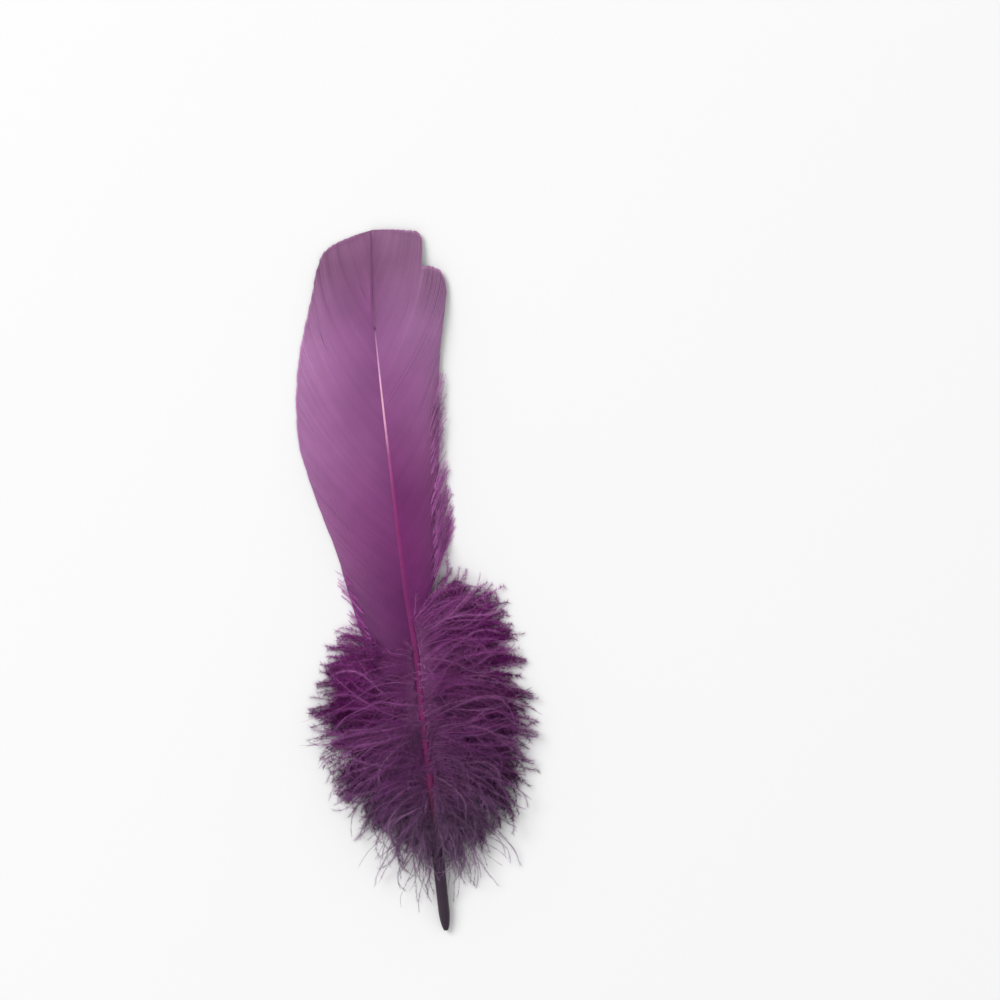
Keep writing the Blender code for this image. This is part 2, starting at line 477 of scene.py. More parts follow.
# %% [markdown]
# ## Locks, slits and worn ends
# Barbs hook into each other, but some hooks have come undone: the web parts into locks, which
# crowd together, crown a little and leave dark slits. On the right some ends have worn off, which
# leaves a notch. Cutting the finished web would leave sharp straight edges, so the barbs
# themselves are pushed aside, raised or shortened.

# %% Locks, slits and worn ends
# Root station, then how much of the barb is left where its end has worn off
WORN = {
    LEFT: ((61, 1), (176, 1)),
    RIGHT: ((78, 1), (130, 1), (132, 0.955), (135, 0.855), (137.7, 0.785), (138, 1), (176, 1)),
}
# Folds between locks by root station, then how high the lock that follows crowns; that height also
# sets the crown's painted highlight and the painted shade of the fold before it
LOCKS = {
    LEFT: (
        (61, 0.05), (79, 0.06), (95.5, 0.08), (110, 0.12), (117, 0.2), (124, 0.55), (134, 0.8),
        (142.5, 0.65), (151, 0.2), (165, 0.05), (176, 0),
    ),
    RIGHT: (
        (78, 0.06), (89.5, 0.06), (97, 0.08), (103, 0.08), (110, 0.08), (117.5, 0.1),
        (126.5, 0.08), (131.3, 0.1), (137.8, 0.05), (149, 0.05), (167, 0.1), (176, 0),
    ),
}
# Slits by root station, then the shares of the barb between which each is open, and half its width
SLITS = {
    LEFT: ((123.4, 0.55, 0.82, 0.25), (134, 0.85, 1.2, 0.1), (156.2, 0.12, 0.54, 0.12)),
    RIGHT: (
        (97, 0.8, 1.2, 0.2), (110, 0.84, 1.2, 0.2), (117.5, 0.8, 1.2, 0.25),
        (126.5, 0.86, 1.2, 0.15), (141, 0.3, 0.5, 0.15), (167, 0.3, 1.0, 0.1),
    ),
}
SLIT_REACH = 1.3


def crown_of(side, root):
    """How far each barb stands up: most in the middle of its lock and not at all in the folds."""
    locks = np.array(LOCKS[side], float)
    at = np.clip(np.searchsorted(locks[:, 0], root, side="right") - 1, 0, len(locks) - 2)
    middle = (locks[at, 0] + locks[at + 1, 0]) / 2
    half = (locks[at + 1, 0] - locks[at, 0]) / 2
    return locks[at, 1] * (1 - ((root - middle) / half) ** 2)


def slit_push(side, root, share):
    """How far each barb is pushed along the shaft to open the slits: one row a barb."""
    push = np.zeros((len(root), share.shape[1]))
    for slit, begin, end, half_width in SLITS[side]:
        middle = (begin + end) / 2
        opened = ease(begin, middle, share) * (1 - ease(middle, end, share))
        near = np.exp(-(((root - slit) / SLIT_REACH) ** 2)) * np.sign(root - slit)
        push += half_width * near[:, None] * opened
    return push


for side in (LEFT, RIGHT):
    print("locks:", len(LOCKS[side]) - 1, "slits:", len(SLITS[side]))

# %% [markdown]
# ## Waves and loose ends
# Neighbours move together in slow waves, because they are hooked to each other: barbs that moved
# one by one would look like grass. Only the lowest barbs, which have no hooks, come loose at their
# ends. Each barb also has a tiny scatter of its own, without which the web would look machined.

# %% Waves and loose ends
WAVE_SHARES = (1, 0.55, 0.3)
WAVES_TOGETHER = 1.6
SWAY = 0.15
SWAY_LENGTH = 9
ROOT_SCATTER = 0.02
LOOSE_LENGTH = {LEFT: 6, RIGHT: 24}
LOOSE_SPREAD = {LEFT: 0.3, RIGHT: 0.2}
GROWTH = 0.004
GROWTH_LENGTH = 4
GROWTH_SCATTER = 0.001
LOWEST_WEB = 0.25


def slow_waves(places, chance, longest):
    """A smooth random curve of about -1 to 1 over these places; its longest wave is this long."""
    total = 0
    for share in WAVE_SHARES:
        total += np.sin(2 * math.pi * (places / (longest * share) + chance.random())) * share
    return total / WAVES_TOGETHER


def looseness(side, root):
    """1 at the web's lowest barb, and 0 where all barbs are hooked to the next."""
    lowest = WEB[side][0][0]
    return 1 - ease(lowest, lowest + LOOSE_LENGTH[side], root)


def hooked_lines(side, root, share, reached, parting, crown, loose, chance):
    """The lines of a web's barbs, which wave together and come loose where they have no hooks."""
    count = len(root)
    wave = SWAY * slow_waves(root, chance, SWAY_LENGTH)[:, None] * parting
    wave = wave + chance.normal(0, ROOT_SCATTER, (count, 1))
    lines = web_lines(side, root[:, None] + slit_push(side, root, share) + wave, reached)
    lines[..., 2] += crown
    for axis in (0, 1, 2):
        lines[..., axis] += LOOSE_SPREAD[side] * chance.normal(0, 1, (count, 1)) * loose
    growth = 1 + GROWTH * slow_waves(root, chance, GROWTH_LENGTH)
    growth = growth + chance.normal(0, GROWTH_SCATTER, count)
    lines = lines[:, :1] + (lines - lines[:, :1]) * growth[:, None, None]
    lines[..., 2] = np.maximum(lines[..., 2], LOWEST_WEB)
    return lines


print("loose over", LOOSE_LENGTH[LEFT], "mm on the left,", LOOSE_LENGTH[RIGHT], "mm on the right")

# %% [markdown]
# ## Light and dark barbs
# Dye takes differently from barb to barb. A painted highlight lightens each crown and a painted
# shade darkens each fold between two locks, and the tip has a tint of its own beside the shaft.
# This could be painted on the web, but then it would slide over the barbs, so each barb carries
# its tint along its length.

# %% Light and dark barbs
TINT_SCATTER = 0.15
TINT_WAVES = ((0.35, 6), (0.12, 2))
CROWN_PAINTED_HIGHLIGHT = 0.5
FOLD_PAINTED_SHADE = 1.6
FOLD_SHADE_WIDTH = 1.4
TIP_TINT = {LEFT: 5.0, RIGHT: -1.2}


def web_tints(side, root, share, parting, crown, near_tip, chance):
    uneven = TINT_SCATTER * chance.normal(0, 1, len(root))
    for strength, longest in TINT_WAVES:
        uneven = uneven + strength * slow_waves(root, chance, longest)
    folds = np.array(LOCKS[side], float)[1:-1]
    # How near each barb is to a fold, weighted by the crown after it: the mask of the painted fold
    # shade
    depth = np.exp(-(((root[:, None] - folds[:, 0]) / FOLD_SHADE_WIDTH) ** 2)) @ folds[:, 1]
    # Crowns get a painted highlight and folds a painted shade, both in the tint
    tints = uneven[:, None] + (CROWN_PAINTED_HIGHLIGHT * crown - FOLD_PAINTED_SHADE * depth[:, None] * parting)
    return tints + TIP_TINT[side] * (1 - share) ** 2 * near_tip


print("waves of tint, in mm:", [longest for _, longest in TINT_WAVES])

# %% [markdown]
# ## The two webs
# The barbs are as wide as their spacing and a little more, so that each lies over the next like a
# roof's shingles. Each is tilted a few degrees, which shows its edge as a fine line: barbs that
# lay flat would melt into a sheet. Near the tip they narrow at their roots and leave the thin
# shaft bare.

# %% The two webs
WEB_SPACING = 0.3
OVERLAP = 1.7
BARB_WIDTHS = (0.2, 0.9)
BARB_RISE = 0.12
TILT = math.radians(4)
PARTING_FROM = 0.25
LOOSE_FROM = 0.55
POINTED_FROM = 0.96
CLASP = 0.06
NEAR_TIP = (146, 160)


def lie_of_barbs(side, root, share, lines, crown):
    """How far apart the barbs are along their lines, and which way their upper sides face."""
    tangents = unit(np.gradient(lines, axis=1))
    even_lines = web_lines(side, root[:, None], share)
    spacing = np.linalg.norm(np.cross(tangents, np.gradient(even_lines, axis=0)), axis=-1)
    even_lines[..., 2] += crown
    normals = unit(np.cross(tangents, np.gradient(even_lines, axis=0)))
    normals *= np.sign(normals[..., 2:3])
    towards_tip = unit(np.cross(normals, tangents))
    return spacing, unit(normals + math.tan(TILT) * towards_tip * side)


def make_web(name, side, seed):
    chance = np.random.default_rng(seed)
    first = WEB[side][0][0]
    last = WEB[side][-1][0]
    root = np.linspace(first, last, int((last - first) / WEB_SPACING))
    share = np.linspace(0, 1, WEB_STEPS + 1)[None, :]
    reached = share * smooth_through(*np.array(WORN[side], float).T, root)[:, None]
    parting = ease(PARTING_FROM, 1.0, reached)
    crown = crown_of(side, root)[:, None] * parting * (1 - 0.4 * share)
    loose = looseness(side, root)[:, None] * ease(LOOSE_FROM, 1.0, share)
    lines = hooked_lines(side, root, share, reached, parting, crown, loose, chance)
    spacing, ups = lie_of_barbs(side, root, share, lines, crown)
    near_tip = ease(*NEAR_TIP, root)[:, None]
    widths = np.clip(spacing * OVERLAP, *BARB_WIDTHS)
    widths = widths * (1 - 0.5 * ease(POINTED_FROM, 1.0, share)) * (1 - 0.5 * loose)
    widths *= 1 - 0.6 * near_tip * (1 - ease(0, CLASP, share))
    heights = BARB_RISE * (1 - 0.6 * share) * np.ones((len(root), 1))
    tints = web_tints(side, root, share, parting, crown, near_tip, chance)
    web = woven(name, [(web_template, lines, ups, widths, heights, tints)])
    return web


left_web = make_web("left_web", LEFT, 11)
right_web = make_web("right_web", RIGHT, 12)
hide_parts("left_vane")
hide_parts("right_vane")

# %% [markdown]
# ## A rib and a barbule
# A downy barb has a thread-like rib and hundreds of soft barbules. Hair particles would be lost
# when the model is exported, so both are modelled. The rib is a three-sided rod, and the barbule
# is one fine three-cornered blade: a small plane, whose two far corners are merged.

# %% A rib and a barbule
DOWN_STEPS = 14
DOWN_SHARES = np.linspace(0, 1, DOWN_STEPS + 1)[None, :]

rib = rod("rib", 3, barb_steps(DOWN_STEPS))
rib_template = template_of(rib)
bpy.data.objects.remove(rib)

start_clean()
bpy.ops.mesh.primitive_plane_add(size=1, location=(0, 0.5, 0))
barbule = bpy.context.object
bpy.ops.object.transform_apply(location=True)
pick(barbule, points_of(barbule)[:, 1] > 0.5)
bpy.ops.mesh.merge(type="CENTER")
bpy.ops.object.mode_set(mode="OBJECT")
barbule_points = points_of(barbule)
barbule_corners = np.array([corner.vertex_index for corner in barbule.data.loops])
bpy.data.objects.remove(barbule)
print("rib faces:", len(rib_template["sizes"]), "barbule corners:", len(barbule_corners))

# %% [markdown]
# ## Coats of fuzz
# The barbules point forwards and stand out to all sides of the rib, long at its root and short at
# its tip. One coat that was copied to every barb would show as a pattern, so each kind of coat is
# made three times. Matted down has broad barbules, plumes have many fine ones, and the shortest
# barbs have few.

# %% Coats of fuzz
LONG_BARB = 24
SHORT_BARB = 9
# Seed, length of the barb, number of barbules, the longest, the shortest, and how wide a foot is
COATS = {
    "matted": (10, LONG_BARB, 300, 2.6, 1.4, 0.15),
    "long": (20, LONG_BARB, 760, 2.6, 1.4, 0.042),
    "short": (30, SHORT_BARB, 240, 1.9, 0.9, 0.055),
}
COATS_OF_A_KIND = 3
FUZZ_LEAN = (30, 80)
FUZZ_LENGTHS = (0.45, 1.15)


def fuzz_template(seed, barb_length, count, long, short, foot_width):
    """Barbules all round a straight rib, as a template like those of the modelled barbs."""
    chance = np.random.default_rng(seed)
    foot = np.sort(chance.uniform(0.01, 1, count))
    around = chance.uniform(0, 2 * math.pi, count)
    lean = np.radians(chance.uniform(*FUZZ_LEAN, count))
    length = (long + (short - long) * foot) * chance.uniform(*FUZZ_LENGTHS, count)
    facing = chance.uniform(0, math.pi, count)
    out = np.stack([np.cos(around), np.zeros(count), np.sin(around)], axis=1)
    beside = np.stack([-np.sin(around), np.zeros(count), np.cos(around)], axis=1)
    forward = np.array([[0, 1 / barb_length, 0]])
    reach = out * (length * np.sin(lean))[:, None] + forward * (length * np.cos(lean))[:, None]
    breadth = beside * np.sin(facing)[:, None] + forward * np.cos(facing)[:, None]
    points = (
        np.array([0, 1, 0]) * foot[:, None, None]
        + barbule_points[None, :, :1] * (breadth * foot_width)[:, None]
        + barbule_points[None, :, 1:2] * reach[:, None]
    ).reshape(-1, 3)
    each = len(barbule_points)
    corners = (barbule_corners[None] + each * np.arange(count)[:, None]).ravel()
    sizes = np.full(count, each)
    fine = np.tile(barbule_points[:, 1], count)
    strip = np.stack([np.clip(points[corners, 1], 0, 1), 0.1 + 0.8 * fine[corners]], axis=1)
    return {"points": points, "corners": corners, "sizes": sizes, "strip": strip, "fine": fine}


coats = {}
for kind, (seed, *measures) in COATS.items():
    coats[kind] = [fuzz_template(seed + k, *measures) for k in range(COATS_OF_A_KIND)]
    print(kind, "coat, barbules on one barb:", len(coats[kind][0]["sizes"]))

# %% [markdown]
# ## The lines of the downy barbs
# Downy barbs are limp. Each leaves the shaft outwards and forwards, arches over and falls back
# towards the quill. A curve through set points would look stiff, so a line is walked in short
# steps, whose direction turns from a leaving to an ending angle, with slow waves on the way.

# %% The lines of the downy barbs
DOWN_ROOT_HEIGHT = 0.5
TURN_POWERS = (0.6, 1.4)
# The fewest and most waves along a barb, and how strong they are
CURL_WAVES = ((0.4, 1.0, 1.0), (1.2, 2.2, 0.3))
SETTLE_POWER = 1.6
LIFT_POWER = 0.8


def curl(leaving, ending, chance, waviness):
    """Directions along each barb, in radians from the shaft's, with slow waves of their own."""
    count = len(leaving)
    power = chance.uniform(*TURN_POWERS, (count, 1))
    turn = np.radians(leaving[:, None] + (ending - leaving)[:, None] * DOWN_SHARES**power)
    for fewest, most, strength in CURL_WAVES:
        waves = DOWN_SHARES * chance.uniform(fewest, most, (count, 1)) + chance.random((count, 1))
        turn += waviness * strength * np.sin(2 * math.pi * waves) * DOWN_SHARES
    return turn


def wander(root, side, length, turn, lift, rest_z, depth=ROOT_DEPTH):
    """Lines that start on one side of the shaft, follow these directions, rise and then settle."""
    radius = shaft_radius(root)
    start_x = shaft_x(root) + side * depth * radius
    start_z = shaft_z(root) + DOWN_ROOT_HEIGHT * radius
    step = (length / DOWN_STEPS)[:, None]
    across = np.cumsum(np.sin(turn) * step, axis=1)
    along = np.cumsum(np.cos(turn) * step, axis=1)
    x = start_x[:, None] + across - across[:, :1]
    station = root[:, None] + along - along[:, :1]
    settle = DOWN_SHARES**SETTLE_POWER
    rise = lift[:, None] * np.sin(math.pi * DOWN_SHARES**LIFT_POWER)
    z = start_z[:, None] * (1 - settle) + rest_z[:, None] * settle + rise
    return np.stack([x, station, z], axis=-1)


print("steps along a downy barb:", DOWN_STEPS)

# %% [markdown]
# ## Over the shaft and in tufts
# Barbs that fall back can't pass through the shaft, so they are lifted onto it. A simulation could
# do that, but a lift is enough for hairs this thin. Neighbours cling in small tufts, most of all
# near their tips, and each tuft is pulled towards the mean of its lines.

# %% Over the shaft and in tufts
SHAFT_ROOM = 1.15
CREST_GAP = 0.1
LOWEST_LINE = 0.15


def clear_of_shaft(lines):
    """Lifts what would pass through the shaft onto it."""
    station = lines[..., 1]
    radius = shaft_radius(station) * SHAFT_ROOM
    beside = np.abs(lines[..., 0] - shaft_x(station)) / radius
    crest = shaft_z(station) + radius * np.sqrt(np.clip(1 - beside**2, 0, 1)) + CREST_GAP
    grown = np.arange(lines.shape[1])[None, :] > 1
    inside = (beside < 1) & grown & (station > 0)
    lines[..., 2] = np.maximum(lines[..., 2], np.where(inside, crest, LOWEST_LINE))
    return lines


def cling(lines, chance, odds, low, high):
    """Pulls neighbours together; the odds are those that a barb starts a tuft of its own."""
    tuft = np.cumsum(chance.random(len(lines)) < odds)
    shares = DOWN_SHARES[..., None]
    for k in np.unique(tuft):
        inside = tuft == k
        pull = chance.uniform(low, high) * ease(0.05, chance.uniform(0.5, 1.0), shares)
        lines[inside] += (lines[inside].mean(axis=0, keepdims=True) - lines[inside]) * pull
    return lines


print("room round the shaft:", SHAFT_ROOM, "of its radius")

# %% [markdown]
# ## Ribs in their coats
# A downy barb is a tapering rib and a coat of fuzz on the same line. Each is rolled about its line
# by chance, so that no two coats look alike from above. Dark barbs are lightened at their roots, and
# those that start between the fluff and the webs more so near the shaft: painted light that lifts
# the shade beside the shaft.

# %% Ribs in their coats
LOWEST_RIB = 0.25
RIB_TAPER = 0.7
ROOT_PAINTED_LIGHT = 1.3
ROOT_PAINTED_LIGHT_SHARES = (0.05, 0.4)
NECK_PAINTED_LIGHT = 2.5
NECK_PAINTED_LIGHT_SHARES = (0.06, 0.2)
NECK_BEGINS = (42, 54)
NECK_ENDS = (72, 78)


def fluffy(name, lines, tints, chance, rib_width, least_fuzz, most_fuzz, kind):
    """Downy barbs along the lines: a rib each, and a coat of this kind between these sizes."""
    count = len(lines)
    ups = np.zeros_like(lines)
    roll = chance.uniform(0, 2 * math.pi, count)[:, None]
    ups[..., 2] = np.cos(roll)
    ups[..., 0] = np.sin(roll)
    lines[..., 2] = np.maximum(lines[..., 2], LOWEST_RIB)
    tints = tints[:, None]
    # Painted light at the roots of dark barbs
    tints = tints + ROOT_PAINTED_LIGHT * (1 - ease(*ROOT_PAINTED_LIGHT_SHARES, DOWN_SHARES)) * (tints < 0)
    start = lines[:, :1, 1]
    # Painted light on barbs that start between the fluff and the webs, near the shaft
    neck_painted_light = NECK_PAINTED_LIGHT * (1 - ease(*NECK_PAINTED_LIGHT_SHARES, DOWN_SHARES))
    tints += neck_painted_light * ease(*NECK_BEGINS, start) * (1 - ease(*NECK_ENDS, start))
    ribs = rib_width * (1 - RIB_TAPER * DOWN_SHARES) * np.ones((count, 1))
    fuzz = chance.uniform(least_fuzz, most_fuzz, count)[:, None] * np.ones_like(DOWN_SHARES)
    sets = [(rib_template, lines, ups, ribs, ribs, tints)]
    for k, coat in enumerate(coats[kind]):
        mine = np.arange(count) % COATS_OF_A_KIND == k
        sets.append((coat, lines[mine], ups[mine], fuzz[mine], fuzz[mine], tints[mine]))
    return woven(name, sets)


print("lowest rib:", LOWEST_RIB, "mm over the table")

# %% [markdown]
# ## The fluff
# The fluff is the warm lower part of the feather. One even coat of barbs would look like a brush,
# so it lies in two layers. The barbs underneath are many and matted, hide the table and dive below
# the webs, and their darker tint is painted shade. Over them lie fewer ones with a paler tint, which
# is painted light; they keep apart as single plumes, stray from their neighbours and fall further
# back. Beside the left web these are shorter, and its lowest barbs show.

# %% The fluff
# Root station, length, leaving angle and ending angle
FLUFF = {
    LEFT: (
        (29, 14, 108, 192), (31.5, 20, 98, 182), (34, 25, 88, 168), (38, 27, 78, 148),
        (44, 28.5, 70, 126), (51, 28.5, 66, 110), (57, 28, 63, 100), (61, 27, 60, 94),
        (67, 24, 53, 81), (73, 19, 45, 67),
    ),
    RIGHT: (
        (29, 14, 108, 195), (31.5, 21, 98, 186), (34, 26, 90, 176), (38.5, 28, 80, 158),
        (45, 29, 72, 138), (52, 29, 66, 124), (60, 29, 58, 108), (67, 28, 50, 90),
        (73, 25, 44, 72), (79, 21, 38, 56),
    ),
}
# How the layers differ; a coat is its rib's width, its least and greatest size and its kind
LAYERS = {
    "under": {
        "scatter": (10, 18), "waviness": 0.3, "lift": (-1.5, 1.2), "rest": (0.3, 1.6),
        "tufts": (0.22, 0.3, 0.8), "tint": -1.15, "coat": (0.1, 0.8, 1.2, "matted"),
    },
    "over": {
        "scatter": (20, 28), "waviness": 0.75, "lift": (0.8, 4.0), "rest": (0.8, 4.0),
        "tufts": (0.6, 0.05, 0.4), "tint": 0.8, "coat": (0.19, 0.3, 1.3, "long"),
    },
}
TINT_SPREAD = 0.7
FLUFF_LENGTHS = (0.6, 1.05)
FALLEN_ODDS = 0.35
FALLEN_ANGLES = (15, 75)


def layer(side, place, low, high, count, chance):
    """Lines and tints of the barbs of one layer of the fluff."""
    ways = LAYERS[place]
    over = place == "over"
    root = np.sort(chance.uniform(low, high, count))
    length, leaving, ending = rows_of(FLUFF[side], root)
    length = length * chance.uniform(*FLUFF_LENGTHS, count)
    if not over:
        length *= 0.72 + 0.28 * ease(29, 42, root)
    elif side == LEFT:
        length *= 1 - 0.5 * ease(54, 66, root)
    leaving = leaving + chance.normal(0, ways["scatter"][0], count)
    ending = ending + chance.normal(0, ways["scatter"][1], count)
    if over:
        fallen = chance.random(count) < FALLEN_ODDS
        ending = ending + np.where(fallen, chance.uniform(*FALLEN_ANGLES, count), 0)
    turn = side * curl(leaving, ending, chance, ways["waviness"])
    lift = chance.uniform(*ways["lift"], count)
    rest = chance.uniform(*ways["rest"], count)
    flatter = 1 - 0.6 * ease(45, 68, root)
    lift = lift * flatter
    if not over:
        lift = lift - ease(52, 63, root)
    lines = wander(root, side, length, turn, lift, rest * flatter)
    lines = cling(lines, chance, *ways["tufts"])
    # The layer's tint is painted shade underneath and painted light on top
    tints = ways["tint"] + TINT_SPREAD * chance.normal(0, 1, count)
    # Painted light: the left under barbs from 54 to 63 mm are lightened against the shade cast on them
    # by the fluff above
    if side == LEFT and not over:
        tints += 0.9 * ease(54, 63, root)
    return clear_of_shaft(lines), tints


def make_fluff(name, side, place, low, high, count, seed):
    chance = np.random.default_rng(seed)
    lines, tints = layer(side, place, low, high, count, chance)
    fluff = fluffy(name, lines, tints, chance, *LAYERS[place]["coat"])
    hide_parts("left_down" if side == LEFT else "right_down")
    return fluff


fluff_pieces = [
    make_fluff("left_fluff_under", LEFT, "under", 29.5, 68, 290, 31),
    make_fluff("left_fluff_over", LEFT, "over", 29.5, 71, 180, 32),
    make_fluff("right_fluff_under", RIGHT, "under", 29.5, 78, 350, 33),
    make_fluff("right_fluff_over", RIGHT, "over", 29.5, 78, 220, 34),
]

# %% [markdown]
# ## The veil over the quill
# The lowest barbs are the limpest. They fall back over the quill and hide where it begins, and
# short ones further up have strayed across the shaft. They could be part of the fluff on either
# side, but they lie over both, so they are a piece of their own, with short and thin fuzz that
# lets the shaft's colour through.

# %% The veil over the quill
HUGGING = 160
CROSSING = 110


def make_veil():
    chance = np.random.default_rng(41)
    count = HUGGING + CROSSING

    def mixed(hugging, crossing):
        """Random numbers in one range for the barbs that hug the quill, in another for the rest."""
        return np.concatenate([chance.uniform(*hugging, HUGGING), chance.uniform(*crossing, CROSSING)])

    root = mixed((22, 37), (33, 68))
    side = np.where(chance.random(count) < 0.5, LEFT, RIGHT)
    leaving = mixed((90, 170), (-95, -40))
    ending = mixed((150, 215), (-160, -90))
    turn = side[:, None] * curl(leaving, ending, chance, 0.4)
    depth = chance.uniform(0.1, 0.8, count)
    length = mixed((5, 14), (6, 17))
    lift = chance.uniform(0.2, 2.2, count)
    rest = chance.uniform(0.8, 4.0, count)
    lines = wander(root, side, length, turn, lift, rest, depth)
    lines = clear_of_shaft(cling(lines, chance, 0.5, 0.1, 0.5))
    tints = chance.normal(0.8, 0.8, count)
    veil = fluffy("veil_fluff", lines, tints, chance, 0.12, 0.3, 1.1, "short")
    return veil


fluff_pieces.append(make_veil())

# %% [markdown]
# ## Stray hairs
# Some downy barbs have lost most of their fuzz. They show as long pale threads, which curl over
# the fluff and stand out of it. They could be bare ribs, but those look like wire, so they keep
# the thinnest of coats. Their lines wander more than those of the fluff.

# %% Stray hairs
STRAY_COUNT = 40
LONGEST_STRAY = 31


def both_sides(count):
    """Left and right in turn."""
    return np.where(np.arange(count) % 2, LEFT, RIGHT)


def make_strays():
    chance = np.random.default_rng(61)
    count = STRAY_COUNT
    side = both_sides(count)
    root = chance.uniform(25, 64, count)
    leaving = chance.uniform(60, 130, count)
    ending = leaving + chance.uniform(20, 90, count)
    turn = side[:, None] * curl(leaving, ending, chance, 0.8)
    length = np.minimum(chance.uniform(0.45, 0.7, count) * root, LONGEST_STRAY)
    lift = chance.uniform(0.5, 2.5, count)
    rest = chance.uniform(0.8, 3.5, count)
    lines = clear_of_shaft(wander(root, side, length, turn, lift, rest))
    tints = chance.normal(1.6, 0.3, count)
    hairs = fluffy("stray_hairs", lines, tints, chance, 0.14, 0.1, 0.35, "short")
    return hairs


fluff_pieces.append(make_strays())

# %% [markdown]
# ## Wisps at the lower edge
# The fluff doesn't end at a line: its lowest barbs hang back along the quill one by one, long,
# thin and faded, and the table shows between them. They are made like the stray hairs, but they
# all start low and fall back.

# %% Wisps at the lower edge
WISP_COUNT = 110
ALONG_QUILL = 185


def make_wisps():
    chance = np.random.default_rng(71)
    count = WISP_COUNT
    side = both_sides(count)
    root = chance.uniform(24, 38, count)
    leaving = chance.uniform(85, 160, count)
    ending = leaving + (ALONG_QUILL - leaving) * chance.uniform(0.5, 1.3, count)
    turn = side[:, None] * curl(leaving, ending, chance, 0.55)
    length = chance.uniform(0.35, 0.85, count) * root
    lift = chance.uniform(0.3, 2.2, count)
    rest = chance.uniform(0.4, 3.0, count)
    lines = wander(root, side, length, turn, lift, rest)
    lines = clear_of_shaft(cling(lines, chance, 0.7, 0.05, 0.35))
    tints = chance.normal(0.7, 0.7, count)
    wisps = fluffy("wisps", lines, tints, chance, 0.13, 0.2, 0.8, "short")
    return wisps


fluff_pieces.append(make_wisps())

# %% [markdown]
# ## The fringe of the webs
# Low on the webs the barbs' ends have no hooks. They come loose, bend a little outwards and are
# downy, so the web passes into fluff without an edge. A row of separate tufts would stand apart
# from it, so their lines are those of the web, followed on past its edge.

# %% The fringe of the webs
CROWD_LOW = 1.5
FRINGE_SWAY = 0.35
FRINGE_GAP = 0.12


def make_fringe(name, side, high, count, seed):
    chance = np.random.default_rng(seed)
    low = WEB[side][0][0]
    root = np.sort(low + (high - low) * chance.random(count) ** CROWD_LOW)
    begin = chance.uniform(0.7, 0.97, (count, 1))
    end = chance.uniform(1.02, 1.12, (count, 1))
    end = end + 0.25 * looseness(side, root)[:, None] * chance.random((count, 1))
    lines = web_lines(side, root[:, None], begin + (end - begin) * DOWN_SHARES)
    bent_out = DOWN_SHARES**2 * chance.uniform(0.1, 1.3, (count, 1))
    lines[..., 0] += side * bent_out
    lines[..., 1] -= bent_out * chance.uniform(0, 1, (count, 1))
    waves = DOWN_SHARES * chance.uniform(0.4, 1.3, (count, 1)) + chance.random((count, 1))
    lines[..., 0] += FRINGE_SWAY * DOWN_SHARES * np.sin(2 * math.pi * waves)
    lines[..., 2] += FRINGE_GAP + chance.uniform(0, 0.7, (count, 1)) * DOWN_SHARES
    lines = cling(lines, chance, 0.35, 0.1, 0.6)
    tints = chance.normal(0.5, 0.5, count)
    fringe = fluffy(name, lines, tints, chance, 0.12, 0.3, 0.7, "short")
    return fringe


fringe_pieces = [
    make_fringe("right_fringe", RIGHT, 112, 130, 51),
    make_fringe("left_fringe", LEFT, 76, 30, 52),
]

# %% [markdown]
# ## A rod for the shaft
# The quill is a hollow tube of horn. A bevelled curve would stay round all the way, so a disc is
# drawn out in short steps into a rod, and its end is inset and pushed in for the quill's opening.
# The rings crowd at the quill's end, where the shape turns fastest.

# %% A rod for the shaft
SHAFT_SIDES = 32
SHAFT_RINGS = 150
RING_CROWDING = 1.25
HOLE_WALL = 0.22
HOLE_DEPTH = 0.9
AT_QUILL_END = 1e-6

ring_stations = SHAFT_END * np.linspace(0, 1, SHAFT_RINGS) ** RING_CROWDING
shaft = rod("quill_shaft", SHAFT_SIDES, np.diff(ring_stations))
pick(shaft, points_of(shaft)[:, 1] < AT_QUILL_END)
bpy.ops.mesh.inset(thickness=HOLE_WALL)
bpy.ops.mesh.extrude_region_move(TRANSFORM_OT_translate={"value": (0, HOLE_DEPTH, 0)})
bpy.ops.object.mode_set(mode="OBJECT")
print("shaft faces:", len(shaft.data.polygons))

# %% [markdown]
# ## The shaft
# Above the quill the rachis is a squarer rod of pith with a groove underneath. Scaling the rings
# by hand could give the taper but not the groove, so each ring's points are set at once: a round
# or squarer outline, at the shaft's radius and on its line.

# %% The shaft
ROUND_UNTIL = 45
SQUARE_FROM = 75
ROUND_POWER = 2.0
SQUARE_POWER = 3.2
GROOVE_DEPTH = 0.22
GROOVE_WIDTH = 0.45

shape = points_of(shaft)
outwards = np.hypot(shape[:, 0], shape[:, 2]) / DISC_RADIUS
angle = np.arctan2(shape[:, 2], shape[:, 0])
station = shape[:, 1]
square = ease(ROUND_UNTIL, SQUARE_FROM, station)
power = ROUND_POWER + (SQUARE_POWER - ROUND_POWER) * square
reach = (np.abs(np.cos(angle)) ** power + np.abs(np.sin(angle)) ** power) ** (-1 / power)
groove = np.exp(-((np.cos(angle) / GROOVE_WIDTH) ** 2)) * (np.sin(angle) < 0)
radius = shaft_radius(station) * reach * outwards * (1 - GROOVE_DEPTH * square * groove)
shape[:, 0] = shaft_x(station) + radius * np.cos(angle)
shape[:, 2] = shaft_z(station) + radius * np.sin(angle)
shape[:, 1] = station - HALF
move_points(shaft, shape * MM)
shaft.data.shade_smooth()
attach(shaft, "root")
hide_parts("shaft")
print("thickest half width of the shaft:", round(radius.max(), 2), "mm")

# %% [markdown]
# ## Dye
# The feather was white and then dyed, and the dye took differently along it and from barb to barb.
# A painted picture would blur close by, so each finish, with its dye and its painted light and shade,
# is worked out at every point. It starts from a ramp of colours along the feather's length.

